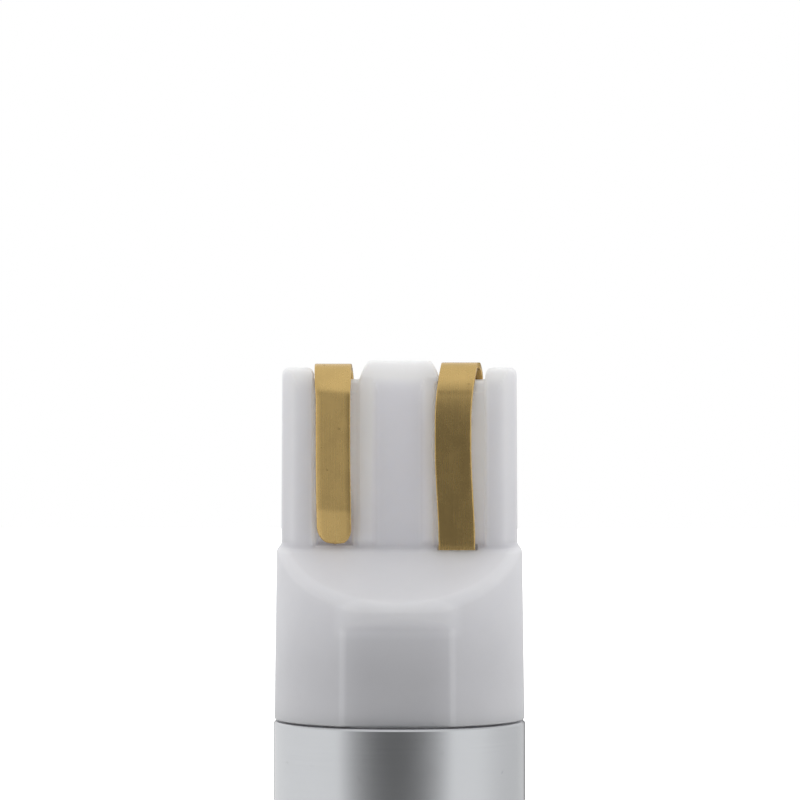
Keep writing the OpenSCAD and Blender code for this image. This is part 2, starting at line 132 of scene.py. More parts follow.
class BulbMetalSizes(bpy.types.PropertyGroup):
    """Sizes of the contacts, the heat sink and the diffuser."""

    strip_width: length("Strip width", "Width of a contact strip", 1.46)
    strip_thickness: length("Strip thickness", "Thickness of a contact strip", 0.25)
    strip_edge: length("Strip edge radius", "Rounding of the strip's long edges", 0.05)
    strip_proud: length("Strip proud", "How far a strip's ends stand out of the blade", 0.1)
    free_bow: length("Free bow", "Outward spring of the leg with the free end", 0.16)
    root_bow: length("Root bow", "Outward spring of the leg that enters the collar", 0.04)
    groove_depth: length("Groove depth", "Depth of the turned cooling grooves", 0.35)
    groove_width: length("Groove width", "Width of each cooling groove", 0.6)
    groove_pitch: length("Groove pitch", "Distance from one groove to the next", 1.25)
    groove_count: IntProperty(name="Grooves", description="Number of cooling grooves", default=3)
    band_height: length("Band height", "Plain band between the joint and the first groove", 3.2)
    rim_chamfer: length("Rim chamfer", "Chamfer on the rims of the heat sink", 0.08)
    web_thickness: length("Web", "Thickness of the web inside the heat sink", 1.0)
    lens_edge: length("Diffuser edge", "Radius of the diffuser's lower edge", 1.2)
    lens_wall: length("Diffuser wall", "Wall of the diffuser", 0.8)
    segments: IntProperty(name="Segments", description="Steps round a turned piece", default=224)


class BulbColours(bpy.types.PropertyGroup):
    """Colours of the finishes."""

    moulding: colour("Moulding", "White nylon of the cap", linear(226, 226, 230))
    gold: colour("Gold", "Plated contact strips", linear(226, 192, 126))
    aluminium: colour("Aluminium", "Turned heat sink", linear(212, 214, 217))
    diffuser: colour("Diffuser", "Milky diffuser", linear(236, 236, 234))
    board: colour("Driver board", "Green solder mask", linear(28, 92, 52))
    emitter_board: colour("Emitter board", "White solder mask", linear(232, 232, 228))
    component: colour("Component", "Black moulding compound", linear(38, 38, 40))
    ceramic: colour("Capacitor", "Tan ceramic", linear(176, 146, 106))
    phosphor: colour("Emitter", "Yellow phosphor in a white package", linear(240, 218, 120))
    solder: colour("Solder", "Bright solder", linear(206, 207, 208))
    copper: colour("Lead core", "Tinned copper", linear(206, 178, 152))
    jacket_red: colour("Red lead", "Insulation of the right lead", linear(176, 26, 22))
    jacket_black: colour("Black lead", "Insulation of the left lead", linear(34, 34, 35))
    pad: colour("Thermal pad", "Filled silicone", linear(150, 160, 178))
    seal: colour("Seal", "Silicone ring", linear(214, 214, 210))


# Shape functions, in millimetres


def smooth(t):
    """Goes from 0 to 1 with a level start and end: 3 t squared less 2 t cubed."""
    t = np.clip(t, 0.0, 1.0)
    return t * t * (3 - 2 * t)


def round_max(a, b, r):
    """Distance to what two shapes share, with their common edge rounded to radius r."""
    corner = np.hypot(np.maximum(a + r, 0), np.maximum(b + r, 0))
    return np.minimum(np.maximum(a, b), -r) + corner


def round_min(a, b, r):
    """Distance to two shapes together, with a fillet of radius r where they meet."""
    corner = np.hypot(np.maximum(r - a, 0), np.maximum(r - b, 0))
    return np.maximum(np.minimum(a, b), r) - corner


class CapForm:
    """The wedge cap as a signed distance: below zero inside the plastic, above zero outside."""

    scoop_angle = math.radians(30)
    cap_wall = 0.68
    pocket_roof = 2.25
    seat_width = 0.5
    seat_relief = 0.12
    brow_fade = 0.2
    root_relief = 0.22
    relief_top = 0.1
    rib_half = 0.8
    rib_edge = 0.3
    lead_in_r = 3.0
    lead_in_h = 1.3
    ear_r = 0.3
    blade_draft = 0.04
    chamfer_w = 0.4
    chamfer_h = 0.62
    slot_x = 2.34
    slot_half_w = 0.78
    slot_half_t = 0.155
    curl_slope = 0.13
    curl_h = 2.45

    def __init__(self, cap, metal):
        self.z_spigot = CAP_LOW[2]
        self.z_top = CAP_HIGH[2]
        self.z_joint = SINK_HIGH[2]
        self.z_shoulder = self.z_joint + cap.collar_height / MM
        self.collar_h = cap.collar_height / MM
        self.collar_r = cap.collar_diameter / 2 / MM
        self.taper = cap.collar_taper / 2 / MM
        self.flat_h = cap.flat_height / MM
        self.flat_y = cap.flat_distance / MM
        self.flat_draft = cap.flat_draft / MM
        self.brow_out = cap.brow_out / MM
        self.gap = cap.joint_gap / MM
        self.blade_half_w = cap.blade_width / 2 / MM
        self.half_t = cap.blade_thickness / 2 / MM
        self.blade_edge = cap.blade_edge / MM
        self.ear_drop = cap.ear_drop / MM
        self.notch_depth = cap.notch_depth / MM
        self.channel_x = cap.channel_pitch / 2 / MM
        self.channel_half = cap.channel_width / 2 / MM
        self.channel_in = self.channel_x - self.channel_half
        self.rib_h = cap.rib_height / MM
        self.shoulder_round = cap.shoulder_round / MM
        self.flat_round = cap.flat_round / MM
        self.crease = cap.crease_fillet / MM
        self.arch_r = self.half_t + metal.strip_proud / MM
        self.channel_y = self.arch_r - metal.strip_thickness / MM
        self.z_arch = self.z_top - self.arch_r
        self.z_pocket = self.z_shoulder - self.pocket_roof
        self.bore_r = 4.15
        self.spigot_r = self.bore_r - 0.02
        self.pocket_r = self.spigot_r - self.cap_wall

    def curl(self, z):
        """How far the free end of a contact, and the channel's floor behind it, bends inwards at height z."""
        down = self.z_shoulder + self.curl_h - z
        return self.curl_slope * (np.hypot(down, 0.3) + down) / 2

    def flat_at(self, z):
        """Distance of a flat from the axis at height z: a drafted plane, then the step to the brow."""
        slope = self.scoop_angle
        y_flat = self.flat_y - self.flat_draft
        inner = y_flat + self.brow_out - self.shoulder_round
        z_flat = self.z_joint + self.flat_h - self.brow_fade
        z_brow = self.z_shoulder - math.tan(slope) * (inner - self.half_t)
        z_brow -= self.shoulder_round / math.cos(slope)
        up = np.clip((z - self.z_joint) / self.flat_h, 0, 1)
        return self.flat_y - self.flat_draft * up + self.brow_out * smooth((z - z_flat) / (z_brow - z_flat))

    def collar(self, x, y, z):
        """A tapered cylinder cut by two sloping shoulder faces, two flats and the joint's plane."""
        slope = self.scoop_angle
        wall = np.hypot(x, y) - self.collar_r + self.taper * (z - self.z_joint) / self.collar_h
        roof = (np.abs(y) - self.half_t) * math.sin(slope) + (z - self.z_shoulder) * math.cos(slope)
        form = round_max(wall, roof, self.shoulder_round)
        form = round_max(form, z - self.z_shoulder, self.shoulder_round * 0.8)
        soft = self.flat_round + 0.35 * smooth((z - self.z_joint - self.flat_h) / 0.5)
        form = round_max(form, np.abs(y) - self.flat_at(z), soft)
        return round_max(form, self.z_joint + self.gap - z, 0.05)

    def blade(self, x, y, z):
        """Tongue, two ears and the core in the channels, inside the blade's rounded outline."""
        ax, ay = np.abs(x), np.abs(y)
        z_bend = self.z_top - self.lead_in_h
        lean = self.blade_draft * np.clip((z - self.z_shoulder) / (self.z_top - self.z_shoulder), 0, 1)
        half_w = self.blade_half_w - lean
        qx, qy = ax - half_w + self.blade_edge, ay - self.half_t + self.blade_edge
        plan = np.hypot(np.maximum(qx, 0), np.maximum(qy, 0)) + np.minimum(np.maximum(qx, qy), 0)
        plan -= self.blade_edge
        lead_in = np.hypot(ay + self.lead_in_r - self.half_t, z - z_bend) - self.lead_in_r
        side = np.where(z < z_bend, ay - self.half_t, lead_in)
        recess = smooth((ax - self.rib_half) / self.rib_edge) * (ax < self.channel_in + 0.1)
        shell = np.maximum(np.maximum(plan, side), ay - self.half_t + self.rib_h * recess)

        norm = math.hypot(self.chamfer_w, self.chamfer_h)
        chamfer = (ax - self.channel_in) * self.chamfer_h + (z - self.z_top + self.chamfer_h) * self.chamfer_w
        tongue = round_max(ax - self.channel_in, chamfer / norm, 0.25)
        tongue = round_max(tongue, z - self.z_top, 0.08)
        z_notch = self.z_top - self.notch_depth
        relief = np.maximum(self.channel_in - self.root_relief - ax, z - z_notch + self.relief_top)
        relief = np.where(x * y < 0, np.maximum(relief, 0.05 - ay), 1.0)
        tongue = round_max(tongue, -relief, 0.03)

        x_ear = self.channel_x + self.channel_half
        ear = np.maximum(x_ear - ax, ax - half_w)
        ear = round_max(ear, z - self.z_top + self.ear_drop, self.ear_r)
        core_r = self.channel_y - 0.03
        under_tip = smooth((0.8 - np.abs(ax - 2.6)) / 0.15) * smooth((z - self.z_shoulder + 0.05) / 0.15)
        floor_y = self.channel_y - self.curl(z) * under_tip * (x * y > 0)
        core = np.where(z < self.z_arch, ay - floor_y, np.hypot(ay, z - self.z_arch) - core_r)
        core = round_max(core, z - z_notch, 0.08)
        core = np.maximum(core, ax - half_w + 0.4)
        form = round_min(round_min(tongue, ear, 0.03), core, 0.05)
        form = round_max(form, shell, 0.1)
        return np.maximum(form, self.z_shoulder - 1 - z)

    def distance(self, x, y, z):
        """Collar and blade together, less the driver's pocket and the two slots for the contacts."""
        radius = np.hypot(x, y)
        seat = np.maximum(radius - self.bore_r - self.seat_width, np.abs(y) - self.flat_y + self.seat_relief)
        seat = np.maximum(seat, z - self.z_joint - self.gap - 0.3)
        form = round_min(self.collar(x, y, z), self.blade(x, y, z), self.crease)
        form = np.maximum(np.minimum(form, seat), self.z_joint - z)
        pocket = round_max(radius - self.pocket_r, z - self.z_pocket, 0.1)
        slot_y = -np.sign(x) * (self.arch_r + self.channel_y) / 2
        slot = np.maximum(np.abs(np.abs(x) - self.slot_x) - self.slot_half_w, np.abs(y - slot_y) - self.slot_half_t)
        slot = np.maximum(slot, z - self.z_shoulder - 0.05)
        return np.maximum(np.maximum(form, -pocket), -np.maximum(slot, self.z_pocket - 0.1 - z))


def gradient(distance, points, h=0.012):
    """Slope of the distance at each point, by central differences."""
    slope = np.empty_like(points)
    for axis in range(3):
        step = np.zeros(3)
        step[axis] = h
        slope[:, axis] = distance(*(points + step).T) - distance(*(points - step).T)
    return slope / (2 * h)


def surface_net(distance, lines):
    """Surface where the distance is zero, on the box grid given by three lists of grid lines.

    Each cell that the surface crosses gets one vertex, at the mean of the crossings on its edges, and
    each crossed grid edge gets one four-sided face through the cells round it. The vertices are then
    moved along the slope of the distance, p less d(p) g / |g| squared, until they lie on the surface.
    """
    values = distance(*np.meshgrid(*lines, indexing="ij"))
    inside = values < 0
    cells = np.array(values.shape) - 1
    total = np.zeros((cells.prod(), 3))
    count = np.zeros(cells.prod())
    rings = []
    for axis in range(3):
        lower = [slice(None)] * 3
        upper = [slice(None)] * 3
        lower[axis], upper[axis] = slice(None, -1), slice(1, None)
        crossed = np.argwhere(inside[tuple(lower)] != inside[tuple(upper)])
        next_point = crossed.copy()
        next_point[:, axis] += 1
        a, b = values[tuple(crossed.T)], values[tuple(next_point.T)]
        place = np.stack([lines[k][crossed[:, k]] for k in range(3)], axis=1)
        reach = lines[axis][next_point[:, axis]] - place[:, axis]
        place[:, axis] += reach * a / (a - b)
        u, v = (axis + 1) % 3, (axis + 2) % 3
        ring = []
        for du, dv in ((1, 1), (0, 1), (0, 0), (1, 0)):
            cell = crossed.copy()
            cell[:, u] -= du
            cell[:, v] -= dv
            index = np.ravel_multi_index(cell.T, cells)
            for k in range(3):
                total[:, k] += np.bincount(index, place[:, k], cells.prod())
            count += np.bincount(index, minlength=cells.prod())
            ring.append(index)
        ring = np.stack(ring, axis=1)
        rings.append(np.where((a < 0)[:, None], ring, ring[:, ::-1]))
    used = np.flatnonzero(count)
    number = np.full(cells.prod(), -1)
    number[used] = np.arange(len(used))
    points = total[used] / count[used, None]
    for _ in range(4):
        slope = gradient(distance, points)
        size = np.maximum((slope ** 2).sum(axis=1), 0.05)
        move = (distance(*points.T) / size)[:, None] * slope
        points -= np.clip(move, -0.03, 0.03)
    return points, number[np.concatenate(rings)]


def grid_lines(*stretches):
    """Grid lines along one axis: each stretch is (start, end, step), and neighbours share an end."""
    lines = []
    for start, end, step in stretches:
        lines.append(np.linspace(start, end, max(2, round((end - start) / step) + 1))[:-1])
    return np.concatenate(lines + [[stretches[-1][1]]])


def round_outline(corners, steps=5):
    """Closed outline through corners (r, z, radius), each turned into an arc of that radius."""
    outline = []
    count = len(corners)
    for i, (r, z, radius) in enumerate(corners):
        here = np.array([r, z])
        before = np.array(corners[i - 1][:2]) - here
        after = np.array(corners[(i + 1) % count][:2]) - here
        if radius == 0:
            outline.append(here[None])
            continue
        before, after = before / np.linalg.norm(before), after / np.linalg.norm(after)
        half = math.acos(np.clip(before @ after, -1, 1)) / 2
        reach = radius / math.tan(half)
        centre = here + (before + after) / np.linalg.norm(before + after) * radius / math.sin(half)
        start, end = here + before * reach - centre, here + after * reach - centre
        t = np.linspace(0, 1, steps + 1)[:, None]
        turn = math.pi - 2 * half
        arc = (np.sin((1 - t) * turn) * start + np.sin(t * turn) * end) / math.sin(turn)
        outline.append(centre + arc)
    return np.concatenate(outline)


def revolve(outline, segments):
    """Closed outline (r, z) carried round the axis: x = r cos a, y = r sin a, z = z.

    A point on the axis stays a single vertex, and the faces beside it are triangles.
    """
    angle = np.arange(segments) * 2 * math.pi / segments
    r, z = outline[:, 0], outline[:, 1]
    ring = np.stack([np.outer(r, np.cos(angle)), np.outer(r, np.sin(angle)),
                     np.repeat(z[:, None], segments, axis=1)], axis=-1)
    index = np.arange(len(r) * segments).reshape(len(r), segments)
    poles = np.flatnonzero(r < 1e-6)
    index[poles] = index[poles][:, :1]
    below, above = index, np.roll(index, -1, axis=0)
    quads = np.stack([below, np.roll(below, -1, axis=1), np.roll(above, -1, axis=1), above], axis=-1)
    quads = quads.reshape(-1, 4)
    keep = (quads[:, 0] != quads[:, 1]) | (quads[:, 2] != quads[:, 3])
    return ring.reshape(-1, 3), quads[keep]


def turn_half(points):
    """Half a turn about the axis."""
    return points * np.array([-1, -1, 1])


# Meshes


def make_object(name, points_mm, faces, normals=None, attributes=None):
    """A smooth mesh object at the origin, from points in millimetres and four-sided faces.

    A face that has a corner twice becomes a triangle, and points that no face uses are left out.
    """
    used, faces = np.unique(faces, return_inverse=True)
    faces = faces.reshape(-1, 4)
    points = points_mm[used] * MM
    doubled = [faces[:, k] == faces[:, (k + 1) % 4] for k in range(4)]
    single = np.stack(doubled, axis=1)
    plain = faces[~single.any(axis=1)]
    folded = faces[single.any(axis=1)]
    drop = single[single.any(axis=1)].argmax(axis=1)
    keep = np.arange(4)[None, :] != drop[:, None]
    triangles = folded[keep].reshape(-1, 3) if len(folded) else np.empty((0, 3), int)
    mesh = bpy.data.meshes.new(name)
    mesh.from_pydata(points.tolist(), [], plain.tolist() + triangles.tolist())
    mesh.polygons.foreach_set("use_smooth", np.ones(len(mesh.polygons), bool))
    for label, values in (attributes or {}).items():
        layer = mesh.attributes.new(label, "FLOAT", "POINT")
        layer.data.foreach_set("value", np.ascontiguousarray(values[used], dtype=np.float32))
    mesh.validate()
    if normals is not None:
        mesh.normals_split_custom_set_from_vertices(normals[used].tolist())
    made = bpy.data.objects.new(name, mesh)
    bpy.context.scene.collection.objects.link(made)
    return made


def place(piece, material, slot, *nodes):
    """Gives a new piece its material and its body, and hides the nodes that it stands for; slot is not used."""
    piece.data.materials.clear()
    piece.data.materials.append(material)
    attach(piece, "root")
    if nodes:
        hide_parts(*nodes)
    return piece


def dress(node, material):
    """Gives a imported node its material."""
    piece = frame["nodes"][node]
    if not piece.data.materials:
        piece.data.materials.append(material)
    for entry in piece.material_slots:
        entry.material = material


# Node building


class Nodes:
    """A few short calls for laying out shader nodes."""

    def __init__(self, tree):
        self.tree = tree

    def add(self, kind, **values):
        node = self.tree.nodes.new(kind)
        for key, value in values.items():
            setattr(node, key, value)
        return node

    def link(self, source, target):
        self.tree.links.new(source, target)

    def put(self, socket, value):
        if isinstance(value, bpy.types.NodeSocket):
            self.link(value, socket)
        else:
            socket.default_value = value

    def math(self, operation, *values):
        node = self.add("ShaderNodeMath", operation=operation)
        for socket, value in zip(node.inputs, values):
            self.put(socket, value)
        return node.outputs[0]

    def mix(self, factor, a, b, blend="MIX"):
        node = self.add("ShaderNodeMix", data_type="RGBA", blend_type=blend)
        self.put(node.inputs["Factor"], factor)
        self.put(node.inputs[6], a)
        self.put(node.inputs[7], b)
        return node.outputs[2]

    def span(self, value, low, high, out_low=0.0, out_high=1.0):
        node = self.add("ShaderNodeMapRange", interpolation_type="SMOOTHSTEP")
        for socket, entry in zip(node.inputs, (value, low, high, out_low, out_high)):
            self.put(socket, entry)
        return node.outputs[0]

    def noise(self, vector, scale, detail=3.0, roughness=0.55):
        node = self.add("ShaderNodeTexNoise")
        self.put(node.inputs["Vector"], vector)
        self.put(node.inputs["Scale"], scale)
        self.put(node.inputs["Detail"], detail)
        self.put(node.inputs["Roughness"], roughness)
        return node.outputs["Fac"]

    def stretch(self, vector, scale):
        node = self.add("ShaderNodeMapping")
        self.put(node.inputs["Vector"], vector)
        self.put(node.inputs["Scale"], scale)
        return node.outputs[0]

    def place_on_piece(self):
        return self.add("ShaderNodeTexCoord").outputs["Object"]

    def attribute(self, name):
        return self.add("ShaderNodeAttribute", attribute_name=name).outputs["Fac"]


def new_group(name, inputs, outputs, build):
    """A shader node group with named inputs (name, kind, default) and outputs (name, kind)."""
    tree = bpy.data.node_groups.new(name, "ShaderNodeTree")
    for label, kind, default in inputs:
        socket = tree.interface.new_socket(name=label, in_out="INPUT", socket_type=kind)
        if default is not None:
            socket.default_value = default
    for label, kind in outputs:
        tree.interface.new_socket(name=label, in_out="OUTPUT", socket_type=kind)
    nodes = Nodes(tree)
    entry = nodes.add("NodeGroupInput").outputs
    leave = nodes.add("NodeGroupOutput").inputs
    build(nodes, entry, leave)
    return tree


FLOAT, COLOUR, VECTOR = "NodeSocketFloat", "NodeSocketColor", "NodeSocketVector"


def moulded_skin_group():
    """Moulded plastic: slow cloudy tone, a fine matt grain, and painted light in the colour: painted highlights on
    edges, painted shade in hollows and on thin walls, and a mask of painted light and shade.
    """

    def build(n, entry, leave):
        where = entry["Place"]
        cloud = n.noise(where, 420.0, 3.0)
        tone = n.span(cloud, 0.3, 0.7, -1.0, 1.0)
        tone = n.math("MULTIPLY", tone, entry["Cloud"])
        grain = n.noise(where, entry["Grain scale"], 4.0, 0.6)
        # From here on the brightness is painted light and shade, put into the colour from the masks.
        bright = n.math("ADD", 1.0, tone)
        bright = n.math("ADD", bright, n.math("MULTIPLY", entry["Edge"], entry["Edge light"]))
        bright = n.math("SUBTRACT", bright, n.math("MULTIPLY", entry["Hollow"], entry["Hollow shade"]))
        bright = n.math("SUBTRACT", bright, n.math("MULTIPLY", entry["Thin"], entry["Thin shade"]))
        bright = n.math("ADD", bright, n.math("MULTIPLY", entry["Pale"], entry["Pale light"]))
        bright = n.math("MINIMUM", bright, 1.25)
        shade = n.add("ShaderNodeCombineColor")
        for socket in shade.inputs[:3]:
            n.put(socket, bright)
        n.put(leave["Colour"], n.mix(1.0, entry["Colour"], shade.outputs[0], "MULTIPLY"))
        rough = n.math("ADD", entry["Roughness"], n.math("MULTIPLY", n.math("SUBTRACT", grain, 0.5), 0.12))
        n.put(leave["Roughness"], rough)
        n.put(leave["Height"], n.math("ADD", grain, n.math("MULTIPLY", cloud, 2.0)))

    return new_group(
        "moulded_skin",
        [("Place", VECTOR, None), ("Colour", COLOUR, (0.8, 0.8, 0.8, 1)), ("Cloud", FLOAT, 0.03),
         ("Grain scale", FLOAT, 9000.0), ("Roughness", FLOAT, 0.45), ("Edge", FLOAT, 0.0),
         ("Edge light", FLOAT, 0.1), ("Hollow", FLOAT, 0.0), ("Hollow shade", FLOAT, 0.1),
         ("Thin", FLOAT, 0.0), ("Thin shade", FLOAT, 0.2), ("Pale", FLOAT, 0.0), ("Pale light", FLOAT, 0.25)],
        [("Colour", COLOUR), ("Roughness", FLOAT), ("Height", FLOAT)],
        build,
    )


def worked_metal_group():
    """Worked metal: fine tool lines along one direction, soft mottling and a few dark specks."""

    def build(n, entry, leave):
        lines = n.noise(n.stretch(entry["Place"], entry["Line stretch"]), 1.0, 4.0, 0.65)
        mottle = n.noise(entry["Place"], entry["Mottle scale"], 3.0, 0.6)
        spot = n.noise(entry["Place"], entry["Speck scale"], 2.0, 0.5)
        speck = n.math("MULTIPLY", n.span(spot, 0.7, 0.76), entry["Specks"])
        tone = n.math("MULTIPLY", n.math("SUBTRACT", lines, 0.5), entry["Lines"])
        tone = n.math("ADD", tone, n.math("MULTIPLY", n.math("SUBTRACT", mottle, 0.5), entry["Mottle"]))
        tone = n.math("SUBTRACT", n.math("ADD", 1.0, tone), speck)
        shade = n.add("ShaderNodeCombineColor")
        for socket in shade.inputs[:3]:
            n.put(socket, tone)
        n.put(leave["Colour"], n.mix(1.0, entry["Colour"], shade.outputs[0], "MULTIPLY"))
        rough = n.math("ADD", entry["Roughness"], n.math("MULTIPLY", n.math("SUBTRACT", mottle, 0.5), 0.12))
        rough = n.math("ADD", rough, n.math("MULTIPLY", speck, 0.4))
        n.put(leave["Roughness"], n.math("ADD", rough, n.math("MULTIPLY", n.math("SUBTRACT", lines, 0.5), 0.1)))
        n.put(leave["Height"], n.math("SUBTRACT", lines, speck))

    return new_group(
        "worked_metal",
        [("Place", VECTOR, None), ("Colour", COLOUR, (0.8, 0.8, 0.8, 1)), ("Roughness", FLOAT, 0.25),
         ("Line stretch", VECTOR, (300.0, 300.0, 9000.0)), ("Lines", FLOAT, 0.1),
         ("Mottle scale", FLOAT, 900.0), ("Mottle", FLOAT, 0.1), ("Speck scale", FLOAT, 5000.0),
         ("Specks", FLOAT, 0.0)],
        [("Colour", COLOUR), ("Roughness", FLOAT), ("Height", FLOAT)],
        build,
    )


def finished(name, group, settings, bump, distance, **shader):
    """A material whose group feeds the shader, with what is constant set on the shader itself."""
    material = bpy.data.materials.new(name)
    material.use_nodes = True
    tree = material.node_tree
    tree.nodes.clear()
    n = Nodes(tree)
    box = n.add("ShaderNodeGroup", node_tree=group)
    principled = n.add("ShaderNodeBsdfPrincipled")
    output = n.add("ShaderNodeOutputMaterial")
    n.put(box.inputs["Place"], n.place_on_piece())
    for label, value in settings.items():
        n.put(box.inputs[label], value(n) if callable(value) else value)
    relief = n.add("ShaderNodeBump")
    n.put(relief.inputs["Strength"], bump)
    n.put(relief.inputs["Distance"], distance)
    n.put(relief.inputs["Height"], box.outputs["Height"])
    n.put(principled.inputs["Base Color"], box.outputs["Colour"])
    n.put(principled.inputs["Roughness"], box.outputs["Roughness"])
    n.put(principled.inputs["Normal"], relief.outputs[0])
    for label, value in shader.items():
        n.put(principled.inputs[label.replace("_", " ")], value)
    n.put(output.inputs["Surface"], principled.outputs[0])
    material.diffuse_color = (*settings["Colour"][:3], 1)
    return material


def opaque(value):
    return (*value, 1.0)


class Finishes:
    """Every material of the bulb, made once."""

    def __init__(self, colours):
        skin, metal = moulded_skin_group(), worked_metal_group()
        # The cap's colour carries painted light: highlights on edges, shade in hollows and on thin walls, and painted
        # light and shade on the blade, ears and brow.
        self.moulding = finished(
            "white_nylon", skin,
            {"Colour": opaque(colours.moulding), "Cloud": 0.012, "Grain scale": 7000.0, "Roughness": 0.42,
             "Edge": lambda n: n.attribute("edge"), "Edge light": 0.1,
             "Hollow": lambda n: n.attribute("hollow_shade"), "Hollow shade": 0.03,
             "Thin": lambda n: n.attribute("thin_wall_shade"), "Thin shade": 0.2,
             "Pale": lambda n: n.attribute("pale"), "Pale light": 0.25},
            0.12, 0.00001, Subsurface_Weight=0.9, Subsurface_Radius=(1.0, 0.97, 0.95),
            Subsurface_Scale=0.0018, IOR=1.5,
        )
        self.gold = finished(
            "plated_gold", metal,
            {"Colour": opaque(colours.gold), "Roughness": 0.27, "Line stretch": (14000.0, 500.0, 300.0),
             "Lines": 0.1, "Mottle scale": 1300.0, "Mottle": 0.2, "Speck scale": 4200.0, "Specks": 0.35},
            0.25, 0.000006, Metallic=1.0,
        )
        self.aluminium = finished(
            "turned_aluminium", metal,
            {"Colour": opaque(colours.aluminium), "Roughness": 0.2, "Line stretch": (60.0, 60.0, 16000.0),
             "Lines": 0.06, "Mottle scale": 500.0, "Mottle": 0.06, "Speck scale": 3600.0, "Specks": 0.12},
            0.12, 0.000004, Metallic=1.0,
        )
        self.diffuser = finished(
            "milky_diffuser", skin,
            {"Colour": opaque(colours.diffuser), "Cloud": 0.01, "Grain scale": 12000.0, "Roughness": 0.38},
            0.08, 0.00001, Subsurface_Weight=0.6, Subsurface_Radius=(1.0, 1.0, 0.95),
            Subsurface_Scale=0.0012, IOR=1.49,
        )
        self.seal = self.plain(skin, "silicone_ring", colours.seal, 0.5, 5000.0)
        self.emitter_board = self.plain(skin, "white_mask", colours.emitter_board, 0.35, 4000.0)
        self.board = self.plain(skin, "green_mask", colours.board, 0.3, 2500.0, 0.12)
        self.component = self.plain(skin, "black_compound", colours.component, 0.5, 6000.0, 0.1)
        self.ceramic = self.plain(skin, "tan_ceramic", colours.ceramic, 0.45, 5000.0, 0.06)
        self.phosphor = self.plain(skin, "phosphor_package", colours.phosphor, 0.4, 9000.0, 0.05)
        self.pad = self.plain(skin, "filled_silicone", colours.pad, 0.6, 6000.0, 0.08)
        self.jacket_red = self.plain(skin, "red_insulation", colours.jacket_red, 0.45, 5000.0)
        self.jacket_black = self.plain(skin, "black_insulation", colours.jacket_black, 0.45, 5000.0)
        self.solder = self.bright(metal, "bright_solder", colours.solder, 0.22)
        self.copper = self.bright(metal, "tinned_copper", colours.copper, 0.3)

    @staticmethod
    def plain(group, name, value, roughness, grain, cloud=0.03):
        settings = {"Colour": opaque(value), "Cloud": cloud, "Grain scale": grain, "Roughness": roughness}
        return finished(name, group, settings, 0.15, 0.00001)

    @staticmethod
    def bright(group, name, value, roughness):
        settings = {"Colour": opaque(value), "Roughness": roughness, "Line stretch": (900.0, 900.0, 900.0),
                    "Lines": 0.06, "Mottle": 0.12, "Specks": 0.1}
        return finished(name, group, settings, 0.2, 0.00001, Metallic=1.0)


FINISHES = {}


def finishes():
    """The materials, made on first use."""
    if "all" not in FINISHES:
        FINISHES["all"] = Finishes(bpy.context.scene.bulb_colours)
    return FINISHES["all"]


# Operators, one for each piece


